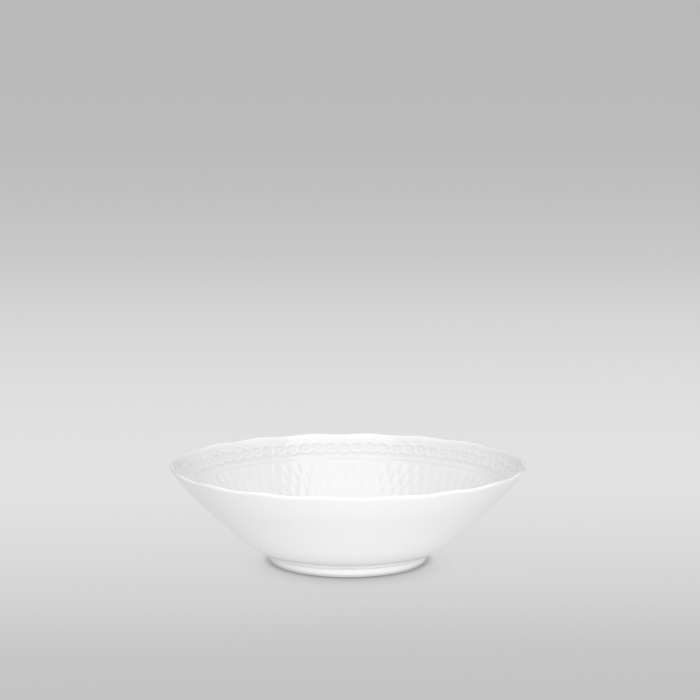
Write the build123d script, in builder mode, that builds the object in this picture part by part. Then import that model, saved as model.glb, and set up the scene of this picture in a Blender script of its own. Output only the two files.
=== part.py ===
"""Porcelain serving bowl: flared wall with shallow lobes round its rim, on a low foot ring.

The pieces are the moulded body, the foot ring, the slip that lutes the ring to the body, and
the glaze, which is wiped off the standing edge and so is fired as two separate films.
Millimetres, +Z up, origin in the plane the bowl stands on, on the bowl's axis.
"""

import os
from math import atan2, cos, pi, radians, sin, tan

from build123d import *

# Driving dimensions of the fired bowl
rim_radius = 116.7        # over the glaze, on the mean line of the lobes
bowl_height = 63.5        # standing plane to the lip's outer corner, on its mean line
foot_radius = 51.6        # unglazed, where the ring stands
underside_height = 6.0    # standing plane to the flat underside of the body
well_thickness = 3.4      # body under the well
well_radius = 39.0        # flat of the well, where the inside starts to curve up
glaze = 0.3               # fired thickness of each glaze film

# Wall: a straight flare between two curved stretches, as (radius, height) on the unglazed outside
flare_bottom = (78.0, 22.2)
flare_top = (100.1, 43.8)
wall_at_bottom = 3.0      # thickness of the clay at the two ends of the flare, and at the lip
wall_at_top = 2.5
wall_at_lip = 2.1
rim_slope = 57            # degrees from horizontal, where the wall reaches the rim
overrun = 2.0             # wall drawn past the rim before the lobes are cut

# Rim lobes
lobe_count = 18
lobe_wave = 0.45          # the edge runs this far up and down the wall from its mean line
trim_margin = 6.0         # the cone that cuts the edge runs this far past the bowl's top and bottom
lip_round = 0.9           # rounding of the unglazed lip's two edges

# Foot ring
foot_width = 4.4
foot_flare = 0.7          # the ring is this much wider on each side where it meets the body
foot_edge_round = 1.4
slip_thickness = 0.4
joint_round = 1.8         # hollow that the slip leaves along both sides of the joint
joint_reach = 0.5         # the joint's two corners are this near the height of the underside
bare_edge_height = 1.0    # glaze is wiped off the ring up to here

# Directions up the wall, as (radial, vertical)
up_rim = cos(radians(rim_slope)), sin(radians(rim_slope))
flare_angle = atan2(flare_top[1] - flare_bottom[1], flare_top[0] - flare_bottom[0])
up_flare = cos(flare_angle), sin(flare_angle)


def beside(point, direction, distance):
    """The point at a distance square to a direction, towards the inside of the bowl."""
    return point[0] - distance * direction[1], point[1] + distance * direction[0]


# Where the wall's outer face meets the lip, and the same point drawn past the rim
lip_corner = (rim_radius - glaze * up_rim[1], bowl_height)
past_rim = (lip_corner[0] + overrun * up_rim[0], lip_corner[1] + overrun * up_rim[1])


def wall_section(skin):
    """Section of the body on the right of the axis, grown by a skin."""
    underside = underside_height - skin
    well = underside_height + well_thickness + skin
    with BuildSketch(Plane.XZ) as section:
        with BuildLine():
            outer_flare = Line(beside(flare_bottom, up_flare, -skin), beside(flare_top, up_flare, -skin))
            outer_lip = beside(past_rim, up_rim, -skin)
            TangentArc(outer_flare @ 1, outer_lip, tangent=outer_flare % 1)
            foot_end = (foot_radius + foot_flare, underside)
            TangentArc(outer_flare @ 0, foot_end, tangent=outer_flare % 0 * -1)
            inner_flare = Line(
                beside(flare_bottom, up_flare, wall_at_bottom + skin),
                beside(flare_top, up_flare, wall_at_top + skin),
            )
            inner_lip = beside(past_rim, up_rim, wall_at_lip + skin)
            TangentArc(inner_flare @ 1, inner_lip, tangent=inner_flare % 1)
            TangentArc(inner_flare @ 0, (well_radius, well), tangent=inner_flare % 0 * -1)
            Polyline((well_radius, well), (0, well), (0, underside), foot_end)
            Line(outer_lip, inner_lip)
        make_face()
    return section.sketch_local


def ring_section(skin, top):
    """Section of the foot ring up to a given height, grown by a skin on both sides."""
    inside = foot_radius - foot_width - skin
    outside = foot_radius + skin
    spread = foot_flare * top / underside_height
    with BuildSketch(Plane.XZ) as section:
        with BuildLine():
            Polyline(
                (inside, 0),
                (outside, 0),
                (outside + spread, top),
                (inside - spread, top),
                close=True,
            )
        make_face()
        fillet(section.vertices().group_by(Axis.Y)[0], foot_edge_round + skin)
    return section.sketch_local


def joined_section(skin):
    """Body, ring and slip as one section, grown by a skin, hollowed along both sides of the joint."""
    underside = underside_height - skin
    with BuildSketch(Plane.XZ) as section:
        add(wall_section(skin))
        add(ring_section(skin, underside_height))
        corners = section.vertices().filter_by(lambda corner: abs(corner.Y - underside) < joint_reach)
        fillet(corners.filter_by(lambda corner: corner.X > well_radius), joint_round)
    return section.sketch_local


def lobed_outline(mean_radius, swing):
    """Points round the axis, alternately in a notch and on a lobe."""
    points = []
    for step in range(2 * lobe_count):
        angle = pi * step / lobe_count - pi / 2
        radius = mean_radius - swing if step % 2 == 0 else mean_radius + swing
        points.append((radius * cos(angle), radius * sin(angle)))
    return points


def rim_trim(skin):
    """Cone square to the wall at its rim, with lobes: what lies outside it is cut away."""
    lean = tan(radians(rim_slope))
    swing = lobe_wave / cos(radians(rim_slope))
    edge_radius = lip_corner[0] + skin * up_rim[0]
    edge_height = lip_corner[1] + skin * up_rim[1]
    with BuildPart() as cone:
        for height in (-trim_margin, bowl_height + trim_margin):
            with BuildSketch(Plane.XY.offset(height)):
                with BuildLine():
                    Spline(*lobed_outline(edge_radius - lean * (height - edge_height), swing), periodic=True)
                make_face()
        loft()
    return cone.part


def bowl_form(section, skin):
    """A section turned about the axis, cut to the lobed edge, with both edges of its lip rounded."""
    with BuildPart() as form:
        with BuildSketch(Plane.XZ):
            add(section)
        revolve(axis=Axis.Z)
        add(rim_trim(skin), mode=Mode.INTERSECT)
        land = form.faces().sort_by(Axis.Z)[-1]
        fillet(land.edges().filter_by(lambda edge: edge.length > rim_radius), lip_round + skin)
    return form.part


# Moulded body
with BuildPart() as bowl_body:
    add(bowl_form(wall_section(0), 0))
bowl_body.part.label = "bowl_body"

# Foot ring
with BuildPart() as foot_ring:
    with BuildSketch(Plane.XZ):
        add(ring_section(0, underside_height - slip_thickness))
    revolve(axis=Axis.Z)
foot_ring.part.label = "foot_ring"

# Slip that lutes the ring to the body, and fills the hollow on both sides of the joint
with BuildPart() as luting_slip:
    with BuildSketch(Plane.XZ):
        add(joined_section(0))
        add(wall_section(0), mode=Mode.SUBTRACT)
        add(ring_section(0, underside_height - slip_thickness), mode=Mode.SUBTRACT)
    revolve(axis=Axis.Z)
luting_slip.part.label = "luting_slip"

# Both glaze films: the grown form, less the clay inside it and the strip wiped off the standing edge
with BuildPart() as glaze_films:
    add(bowl_form(joined_section(glaze), glaze))
    add(bowl_form(joined_section(0), 0), mode=Mode.SUBTRACT)
    Cylinder(
        foot_radius + foot_flare + glaze,
        bare_edge_height,
        align=(Align.CENTER, Align.CENTER, Align.MIN),
        mode=Mode.SUBTRACT,
    )
base_film, coat_film = glaze_films.solids().sort_by(SortBy.VOLUME)

# Glaze over the inside, the rim, the outside and the outer face of the foot ring
with BuildPart() as glaze_coat:
    add(coat_film)
glaze_coat.part.label = "glaze_coat"

# Glaze in the recess under the bowl, and on the inner face of the foot ring
with BuildPart() as glaze_base:
    add(base_film)
glaze_base.part.label = "glaze_base"

os.makedirs("parts", exist_ok=True)
for piece in (bowl_body, foot_ring, luting_slip, glaze_coat, glaze_base):
    export_step(piece.part, f"parts/{piece.part.label}.step")
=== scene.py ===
"""Porcelain serving bowl with a lobed rim and a moulded relief inside, on a pale sweep of card."""

from math import atan2, cos, hypot, pi, radians, sin

import bpy
import numpy as np
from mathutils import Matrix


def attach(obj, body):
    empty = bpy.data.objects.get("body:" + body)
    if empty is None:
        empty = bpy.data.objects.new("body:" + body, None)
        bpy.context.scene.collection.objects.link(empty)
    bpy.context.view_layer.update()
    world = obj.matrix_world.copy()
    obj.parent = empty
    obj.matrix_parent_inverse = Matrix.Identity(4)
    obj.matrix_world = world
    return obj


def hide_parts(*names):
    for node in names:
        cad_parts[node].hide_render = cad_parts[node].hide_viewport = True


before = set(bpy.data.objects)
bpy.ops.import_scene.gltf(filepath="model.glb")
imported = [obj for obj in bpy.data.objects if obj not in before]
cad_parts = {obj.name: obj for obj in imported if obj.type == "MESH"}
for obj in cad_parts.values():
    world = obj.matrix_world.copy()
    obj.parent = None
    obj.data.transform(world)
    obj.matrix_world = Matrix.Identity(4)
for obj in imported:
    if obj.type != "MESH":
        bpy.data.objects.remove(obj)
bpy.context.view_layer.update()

# ---------------------------------------------------------------------------------------------
# Glaze coat: the clear hard glaze over the inside, the lip, the outside and the outer face of
# the foot. The clay is pressed over a plaster mould, so the inside carries the relief: a chain
# of ovals under the lip, a fine ring, and rows of long petals down towards the well.

mm = 0.001
film = 0.3                    # fired thickness of the glaze
rim_radius = 116.7            # over the glaze, on the mean line of the lobes
lip_height = 63.5             # the clay's outer corner at the lip
rim_slope = radians(57)       # the wall's slope where it ends
overrun = 2.0                 # the wall's arcs are drawn this far past the lip, and cut short of it
lip_round = 0.9               # rounding of the clay's lip, under the glaze
wall_at_bottom = 3.0
wall_at_top = 2.5
wall_at_lip = 2.1
flare_bottom = (78.0, 22.2)   # straight flare of the clay's outer face, as (radius, height)
flare_top = (100.1, 43.8)
underside = 6.0
well_floor = underside + 3.4
well_radius = 39.0
foot_radius = 51.6
foot_flare = 0.7
joint_round = 1.8             # hollow of the slip along the joint of foot and body
wall_end = 0.8 * joint_round  # the wall's outside stops this far short of the foot
hollow_depth = 1.5            # the hollow ends on the foot this far below the underside
hollow_fullness = 0.5 * joint_round
bare_edge = 1.0               # the glaze is wiped off the foot up to here
bare_flare = 0.1              # the foot is this much wider there than where it stands

flare_slope = atan2(flare_top[1] - flare_bottom[1], flare_top[0] - flare_bottom[0])
past_lip = (
    rim_radius - film * sin(rim_slope) + overrun * cos(rim_slope),
    lip_height + overrun * sin(rim_slope),
)


def beside(point, slope, distance):
    """The point at a distance square to a slope, towards the inside of the bowl."""
    return point[0] - distance * sin(slope), point[1] + distance * cos(slope)


def straight(start, end, count):
    """Points on a line, its start left out."""
    shares = np.arange(1, count + 1) / count
    return [(start[0] + t * (end[0] - start[0]), start[1] + t * (end[1] - start[1])) for t in shares]


def arc(start, heading, end, count, stop=0.0):
    """Points on the arc that leaves start in a heading and reaches end, cut this far before its end."""
    chord = hypot(end[0] - start[0], end[1] - start[1])
    turn = (atan2(end[1] - start[1], end[0] - start[0]) - heading + pi) % (2 * pi) - pi
    length = chord * turn / sin(turn)
    points = []
    for step in range(1, count + 1):
        share = step / count * (1 - stop / length)
        reach = chord * sin(share * turn) / sin(turn)
        angle = heading + share * turn
        points.append((start[0] + reach * cos(angle), start[1] + reach * sin(angle)))
    return points


def inner_wall(skin, well_rows, curve_rows, flare_rows, rim_rows):
    """The inside of the body grown by a skin, from the axis up to just below the lip."""
    low = beside(flare_bottom, flare_slope, wall_at_bottom + skin)
    high = beside(flare_top, flare_slope, wall_at_top + skin)
    slope = atan2(high[1] - low[1], high[0] - low[0])
    floor = well_floor + skin
    curve = arc(low, slope + pi, (well_radius, floor), curve_rows)[::-1]
    points = [(0.0, floor)]
    points += straight((0.0, floor), (well_radius, floor), well_rows)
    points += curve[1:] + [low]
    points += straight(low, high, flare_rows)
    lip_end = beside(past_lip, rim_slope, wall_at_lip + skin)
    points += arc(high, slope, lip_end, rim_rows, overrun + lip_round)
    return points


def outer_wall(skin, curve_rows, flare_rows, rim_rows):
    """The outside of the body grown by a skin, from just below the lip down to the hollow of the joint."""
    low = beside(flare_bottom, flare_slope, -skin)
    high = beside(flare_top, flare_slope, -skin)
    foot_end = (foot_radius + foot_flare + skin, underside - skin)
    points = arc(high, flare_slope, beside(past_lip, rim_slope, -skin), rim_rows, overrun + lip_round)[::-1]
    points += [high]
    points += straight(high, low, flare_rows)
    points += arc(low, flare_slope + pi, foot_end, curve_rows, wall_end)
    return points


def rounded(start, start_heading, end, end_heading, fullness, count):
    """Points on the smooth bend between two ends, each left in its own heading, both ends left out."""
    first = np.array(start) + fullness * np.array((cos(start_heading), sin(start_heading)))
    second = np.array(end) + fullness * np.array((cos(end_heading), sin(end_heading)))
    points = []
    for step in range(1, count):
        t = step / count
        point = (1 - t) ** 3 * np.array(start) + 3 * t * (1 - t) ** 2 * first
        point = point + 3 * t * t * (1 - t) * second + t ** 3 * np.array(end)
        points.append(tuple(point))
    return points


def heading(points, first, second):
    """The direction from one point of a line to another."""
    return atan2(points[second][1] - points[first][1], points[second][0] - points[first][0])


def coat_line(skin, wall_rows, lip_rows, outside_rows, joint_rows, foot_rows):
    """One face of the glaze in section, and which of its points are inside, lip and outside."""
    inside = inner_wall(skin, *wall_rows)
    outside = outer_wall(skin, *outside_rows)
    fullness = 4 / 3 * (lip_round + skin)
    lip = rounded(
        inside[-1], heading(inside, -2, -1), outside[0], heading(outside, 1, 0), fullness, lip_rows
    )
    foot_top_flare = foot_flare * (1 - hollow_depth / underside)
    foot_top = (foot_radius + skin + foot_top_flare, underside - hollow_depth)
    foot_end = (foot_radius + skin + bare_flare, bare_edge)
    hollow = rounded(
        outside[-1], heading(outside, -2, -1), foot_top, pi / 2, hollow_fullness, joint_rows
    )
    foot = straight(foot_top, foot_end, foot_rows)
    sides = ["inside"] * len(inside) + ["lip"] * len(lip)
    sides += ["outside"] * (len(outside) + len(hollow) + 1 + len(foot))
    return inside + lip + outside + hollow + [foot_top] + foot, sides


# Rows of points: inside over the well, curve, flare and rim, then lip, outside, hollow and foot
shown_line, shown_sides = coat_line(film, (6, 9, 26, 33), 8, (6, 3, 9), 5, 2)
hidden_line, hidden_sides = coat_line(0.0, (1, 3, 1, 4), 4, (4, 1, 4), 2, 1)
section = np.array(shown_line + hidden_line[::-1])
sides = np.array(shown_sides + hidden_sides[::-1])
face_rows = len(shown_line)

# Distance of each row of the section from the lip, down the wall on either side
lip_middle = section[:face_rows][sides[:face_rows] == "lip"].mean(axis=0)
from_lip = np.hypot(*(section - lip_middle).T)
from_lip[sides == "lip"] = 0.0
shown = np.arange(len(section)) < face_rows
moulded = shown & (sides == "inside")
run = np.hypot(*np.diff(section[moulded], axis=0).T)
from_lip[moulded] = run[::-1].cumsum()[::-1].tolist() + [0.0]

turns = 720
tiny = 0.01                   # points nearer than this to each other, or to the axis, are one point
bpy.ops.object.select_all(action="DESELECT")
bpy.ops.mesh.primitive_plane_add(size=mm, location=(section[0, 0] * mm, 0, section[0, 1] * mm))
coat = bpy.context.object
coat.name = "glaze_coat_relief"
bpy.ops.object.transform_apply(location=True)
bpy.ops.object.mode_set(mode="EDIT")
bpy.ops.mesh.select_all(action="SELECT")
bpy.ops.mesh.merge(type="CENTER")
for here, there in zip(section, section[1:]):
    step = ((there[0] - here[0]) * mm, 0, (there[1] - here[1]) * mm)
    bpy.ops.mesh.extrude_region_move(TRANSFORM_OT_translate={"value": step})
bpy.ops.object.mode_set(mode="OBJECT")
row_of = coat.data.attributes.new("row", "INT", "POINT")
row_of.data.foreach_set("value", np.arange(len(section), dtype=np.int32))
bpy.ops.object.mode_set(mode="EDIT")
bpy.ops.mesh.select_all(action="SELECT")
bpy.ops.mesh.spin(steps=turns, angle=2 * pi, center=(0, 0, 0), axis=(0, 0, 1))
bpy.ops.mesh.select_all(action="SELECT")
bpy.ops.mesh.remove_doubles(threshold=tiny * mm)
bpy.ops.mesh.normals_make_consistent(inside=False)
bpy.ops.object.mode_set(mode="OBJECT")

count = len(coat.data.vertices)
row = np.zeros(count, dtype=np.int32)
coat.data.attributes["row"].data.foreach_get("value", row)
place = np.zeros(count * 3)
coat.data.vertices.foreach_get("co", place)
place = place.reshape(-1, 3)
around = np.arctan2(place[:, 1], place[:, 0])
distance = from_lip[row]

# Directions up the wall and square to it, at each row
climb = np.gradient(section, axis=0)
climb /= np.hypot(*climb.T)[:, None]
square = np.stack([-climb[:, 1], climb[:, 0]], axis=1)


def fade(value, full, gone):
    """1 up to one distance, then a smooth fall to 0 at another."""
    t = np.clip((value - full) / (gone - full), 0, 1)
    return 1 - t * t * (3 - 2 * t)


# Lobes of the rim: the edge rises and dips along the wall, fading down both faces
lobe_count = 18
lobe_wave = 0.45
lobe_fade = 25.0
swing = lobe_wave * np.cos(lobe_count * around) * fade(distance, 0.0, lobe_fade)
slope = rim_slope + (flare_slope - rim_slope) * np.clip(distance / lobe_fade, 0, 1)

# Relief: a chain of ovals with a bead in each, a thin ring, rows of long petals below it, and a
# soft crease under each notch of the rim. Distances are down the wall from the lip.
columns = 72
column_shift = 0.28           # of a column
chain_at = 10.4
chain_lean = 0.014            # of a column, for each millimetre down
chain_fade = (2.0, 4.0)
chain_depth = 0.38
oval_reach = (4.6, 3.9)       # half the width and half the height of an oval, to the middle of its edge
oval_edge = 0.3               # share of its reach over which the raised edge falls away
bead_reach = 1.4
bead_depth = 0.35
ring_at = 18.8
ring_reach = 0.7
ring_depth = 0.2
petal_at = 26.0
petal_pitch = 20.0
petal_fullness = 0.6
petal_start = (20.5, 24.0)
petal_end = (42.0, 58.0)
petal_depth = 0.34
crease_fade = (2.0, 30.0)
crease_reach = 0.08
crease_depth = 0.25


def bell(value):
    """1 where the value is 0, falling smoothly to 0 on both sides."""
    return np.exp(-value * value)


def diamonds(column, line):
    """Height of rounded diamonds centred where column and line are both whole, or both half way."""
    left = np.cos(pi * (column + line)) ** 2
    right = np.cos(pi * (column - line)) ** 2
    return left * right


column = columns * around / (2 * pi) + column_shift
column_width = 2 * pi * section[row, 0] / columns
down = distance - chain_at
across = column + chain_lean * down
across = (across - np.round(across)) * column_width
oval = bell((np.hypot(across / oval_reach[0], down / oval_reach[1]) - 1) / oval_edge)
bead = bell(np.hypot(across, down) / bead_reach)
petals = diamonds(column, (distance - petal_at) / petal_pitch) ** petal_fullness
petals = petals * (1 - fade(distance, *petal_start)) * fade(distance, *petal_end)
ring = bell((distance - ring_at) / ring_reach)
crease = np.sin(lobe_count / 2 * (around + pi / 2)) ** 2
crease = crease / (crease + crease_reach) * fade(distance, *crease_fade)
height = chain_depth * oval + bead_depth * bead + ring_depth * ring + petal_depth * petals
height = height * (1 - fade(distance, *chain_fade)) + crease_depth * crease
height = np.where(moulded[row], height, 0.0)

radius = section[row, 0] + swing * np.cos(slope) + height * square[row, 0]
level = section[row, 1] + swing * np.sin(slope) + height * square[row, 1]
radius = np.where(section[row, 0] < tiny, 0.0, radius)
place = np.stack([radius * np.cos(around), radius * np.sin(around), level], axis=1) * mm
coat.data.vertices.foreach_set("co", place.ravel())
relief = coat.data.attributes.new("relief", "FLOAT", "POINT")
relief.data.foreach_set("value", np.clip(oval + bead + ring + petals, 0, 1))
coat.data.attributes.remove(coat.data.attributes["row"])
bpy.ops.object.shade_smooth()
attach(coat, "root")
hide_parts("glaze_coat")


class Value:
    """A node's output socket that can be used in sums, each of which adds a Math node."""

    def __init__(self, material, socket):
        self.material = material
        self.socket = socket

    def joined(self, operation, *terms):
        return self.material.add("ShaderNodeMath", {"operation": operation}, dict(enumerate(terms)))

    def __add__(self, other):
        return self.joined("ADD", self, other)

    __radd__ = __add__

    def __mul__(self, other):
        return self.joined("MULTIPLY", self, other)

    __rmul__ = __mul__

    def __sub__(self, other):
        return self.joined("SUBTRACT", self, other)

    def __rsub__(self, other):
        return self.joined("SUBTRACT", other, self)

    def root(self):
        """The value's square root."""
        return self.joined("SQRT", self)


class Finish:
    """The nodes of a material or of the world, with its shader at hand."""

    def __init__(self, owner, shader="Principled BSDF", place="Object"):
        owner.use_nodes = True
        self.owner = owner
        self.nodes = owner.node_tree.nodes
        self.links = owner.node_tree.links
        self.shader = self.nodes[shader]
        self.place = self.add("ShaderNodeTexCoord", {}, {}, place)

    def add(self, kind, settings, inputs, output=0):
        """Adds a node, makes its settings, then sets or links its sockets, and gives one output."""
        node = self.nodes.new(kind)
        for name, value in settings.items():
            setattr(node, name, value)
        for name, value in inputs.items():
            self.feed(node.inputs[name], value)
        return Value(self, node.outputs[output])

    def feed(self, socket, value):
        """Sets a socket to a constant or links a value to it."""
        if isinstance(value, Value):
            self.links.new(value.socket, socket)
        else:
            socket.default_value = value

    def surface(self, **inputs):
        """Sets the shader's own sockets; an underscore in a name stands for a space."""
        for name, value in inputs.items():
            self.feed(self.shader.inputs[name.replace("_", " ")], value)

    def mix(self, share, first, second):
        """Colour between two colours."""
        return self.add(
            "ShaderNodeMix", {"data_type": "RGBA"}, {"Factor": share, "A": first, "B": second}, "Result"
        )

    def axis(self, name):
        """A point's distance along an axis."""
        return self.add("ShaderNodeSeparateXYZ", {}, {"Vector": self.place}, name)

    def ramp(self, value, stops):
        """Grey that follows a value through stops of (value, grey)."""
        start, end = stops[0][0], stops[-1][0]
        grey = self.add("ShaderNodeValToRGB", {}, {"Fac": (value - start) * (1 / (end - start))})
        elements = grey.socket.node.color_ramp.elements
        for spare in stops[2:]:
            elements.new(0.5)
        for element, (stop, tone) in zip(elements, stops):
            element.position = (stop - start) / (end - start)
            element.color = (tone, tone, tone, 1)
        return grey

    def noise(self, size, detail=2.0):
        """Noise with lumps of about this size, in millimetres."""
        return self.add(
            "ShaderNodeTexNoise", {}, {"Vector": self.place, "Scale": 1 / (size * mm), "Detail": detail}
        )

    def bump(self, height, depth):
        """Surface normal with the height, from 0 to 1, raised to a depth in millimetres."""
        return self.add("ShaderNodeBump", {}, {"Height": height, "Distance": depth * mm, "Strength": 1.0})


glazed = Finish(bpy.data.materials.new("glazed_porcelain"))
drift = glazed.noise(38.0, 1.0)
ripple = glazed.noise(5.0, 2.0)
raised = glazed.add("ShaderNodeAttribute", {"attribute_name": "relief"}, {}, "Fac")
tone = glazed.mix(0.6 * drift + 0.4 * raised, (0.893, 0.893, 0.891, 1), (0.907, 0.907, 0.907, 1))
glazed.surface(
    Base_Color=tone,
    Roughness=0.07 + 0.05 * drift,
    IOR=1.5,
    Coat_Weight=0.3,
    Coat_Roughness=0.03,
    Normal=glazed.bump(ripple, 0.012),
)
coat.data.materials.append(glazed.owner)

# ---------------------------------------------------------------------------------------------
# Glaze base: the second film of the same glaze, over the recess inside the foot. It was poured
# and swirled there, apart from the coat, because the standing edge between them is wiped bare.


def finish_node(name, material):
    """Gives a carried-over piece its material."""
    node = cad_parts[name]
    node.data.materials.clear()
    node.data.materials.append(material)


finish_node("glaze_base", glazed.owner)

# ---------------------------------------------------------------------------------------------
# Bowl body: the pressed clay itself, hard white porcelain, matt and finely grained. It is fired
# under the glaze, which hides all of it.

bisque = Finish(bpy.data.materials.new("porcelain_body"))
grain = bisque.noise(0.35, 3.0)
patch = bisque.noise(9.0, 2.0)
bisque.surface(
    Base_Color=bisque.mix(patch, (0.80, 0.79, 0.77, 1), (0.85, 0.84, 0.82, 1)),
    Roughness=0.55 + 0.25 * grain,
    Normal=bisque.bump(grain, 0.03),
)
finish_node("bowl_body", bisque.owner)

# ---------------------------------------------------------------------------------------------
# Foot ring: a turned ring of the same clay. Its standing edge is wiped bare of glaze before the
# firing, so it shows matt and finely grained.

finish_node("foot_ring", bisque.owner)

# ---------------------------------------------------------------------------------------------
# Luting slip: the liquid clay that holds the ring to the body, brushed between the two, smoothed
# to a small hollow along the joint and fired hard.

slip = Finish(bpy.data.materials.new("fired_slip"))
brushed = slip.noise(0.6, 3.0)
slip.surface(
    Base_Color=slip.mix(brushed, (0.76, 0.75, 0.73, 1), (0.82, 0.81, 0.79, 1)),
    Roughness=0.7 + 0.2 * brushed,
    Normal=slip.bump(brushed, 0.05),
)
finish_node("luting_slip", slip.owner)

# ---------------------------------------------------------------------------------------------
# Setting: a pale sweep of card under and behind the bowl, glowing with painted light and painted shadow,
# soft lights above, behind and low in front, and the light of a white tent all round.

tent_light = 0.92
tent_dimming = 0.92           # the tent is this much dimmer at its left and right than elsewhere
floor_back = 3.0
sweep_radius = 0.6
sweep_steps = 24
painted_light_tones = [                # (way along the card from the bowl's axis, tone of its painted glow)
    (-0.30, 0.55), (-0.21, 0.572), (-0.11, 0.645), (0.02, 0.703), (0.19, 0.753), (0.35, 0.762),
    (0.72, 0.738), (1.16, 0.70), (1.88, 0.645), (2.43, 0.61), (3.10, 0.578), (3.32, 0.557),
    (3.47, 0.533), (3.72, 0.503), (4.10, 0.485),
]
foot_shade = [                # (distance from the middle of the bowl's shade, share of light)
    (0.0396, 0.62), (0.0463, 0.79), (0.053, 0.90), (0.060, 0.96), (0.070, 1.0),
]
shade_forward = 0.012         # that middle is this far in front of the bowl's axis
painted_contact_shadow_reach = 0.0055        # painted contact shadow: the dark line where the foot meets the card
painted_contact_shadow_tone = (0.22, 0.22, 0.22, 1)
wall_top = 3.0
floor_front = -2.5
floor_half = 3.0
bpy.ops.object.select_all(action="DESELECT")
bpy.ops.mesh.primitive_plane_add(size=2, location=(0, 0, 0))
card = bpy.context.object
card.name = "card_sweep"
bpy.ops.object.mode_set(mode="EDIT")
bpy.ops.mesh.select_all(action="SELECT")
bpy.ops.mesh.merge(type="CENTER")
route = [(floor_front, 0.0), (floor_back, 0.0)]
for step in range(1, sweep_steps + 1):
    turn = pi / 2 * step / sweep_steps
    route.append((floor_back + sweep_radius * sin(turn), sweep_radius * (1 - cos(turn))))
route.append((floor_back + sweep_radius, wall_top))
bpy.ops.transform.translate(value=(-floor_half, floor_front, 0))
for here, there in zip(route, route[1:]):
    move = (0, there[0] - here[0], there[1] - here[1])
    bpy.ops.mesh.extrude_region_move(TRANSFORM_OT_translate={"value": move})
bpy.ops.mesh.select_all(action="SELECT")
bpy.ops.mesh.extrude_region_move(TRANSFORM_OT_translate={"value": (2 * floor_half, 0, 0)})
bpy.ops.object.mode_set(mode="OBJECT")
bpy.ops.object.shade_smooth()

# The card glows evenly from behind; its glow is painted light, brightest round the bowl, dimmer in front
# and far back, with painted shadow in the bowl's own shade and a painted contact shadow under the foot
card_finish = Finish(bpy.data.materials.new("card"))
along_card = card_finish.axis("Y") + card_finish.axis("Z")
# Painted light: the glow's tone falls off along the card away from the bowl
painted_light_bands = card_finish.ramp(along_card, painted_light_tones)
# Painted shadow of the bowl: the glow dims round a point just in front of the foot
forward = card_finish.axis("Y") + shade_forward
sideways = card_finish.axis("X")
reach = (forward * forward + sideways * sideways).root()
shade = card_finish.ramp(reach, foot_shade)
# Painted contact shadow: the glow is darkened where the foot stands close to the card
contact_shadow_mask = card_finish.add("ShaderNodeAmbientOcclusion", {"samples": 8}, {"Distance": painted_contact_shadow_reach}, "AO")
card_finish.surface(
    Base_Color=(0, 0, 0, 1),
    Roughness=1.0,
    Specular_IOR_Level=0.0,
    Emission_Color=card_finish.mix(contact_shadow_mask, painted_contact_shadow_tone, painted_light_bands * shade),
    Emission_Strength=1.0,
)
card.data.materials.append(card_finish.owner)

world = bpy.data.worlds.new("tent")
bpy.context.scene.world = world
tent = Finish(world, "Background", "Generated")
sideways = tent.axis("X")
upward = tent.axis("Z")
dimmed = sideways * sideways * (1 - upward * upward)
tent.surface(Color=(1, 1, 1, 1), Strength=tent_light - tent_dimming * dimmed)


def soft_light(name, location, target, width, height, power):
    """An oblong soft light that faces a point."""
    bpy.ops.object.light_add(type="AREA", location=location)
    light = bpy.context.object
    light.name = name
    light.data.shape = "RECTANGLE"
    light.data.size = width
    light.data.size_y = height
    light.data.energy = power
    light.visible_camera = False
    away = [a - b for a, b in zip(location, target)]
    light.rotation_euler = (atan2(hypot(away[0], away[1]), away[2]), 0, atan2(away[0], -away[1]))


soft_light("top_light", (0.0, -0.25, 1.6), (0, 0, 0.03), 1.4, 0.9, 5)
soft_light("key_light", (0.1, -0.85, 1.3), (0, 0, 0.03), 0.45, 0.45, 0.4)
soft_light("back_light", (0.12, 0.3, 1.4), (0, 0, 0.03), 0.3, 0.3, 1.0)
soft_light("front_fill", (0.15, -2.4, 0.05), (0, 0, 0.03), 1.3, 0.16, 35)

bpy.ops.object.camera_add(
    location=(-0.0602, -1.1734, 0.2783), rotation=(radians(90 - 6.77), 0, radians(-3))
)
camera = bpy.context.object
camera.data.lens = 93.4
camera.data.sensor_width = 36
camera.data.clip_end = 30
bpy.context.scene.camera = camera
bpy.context.scene.view_settings.view_transform = "Standard"
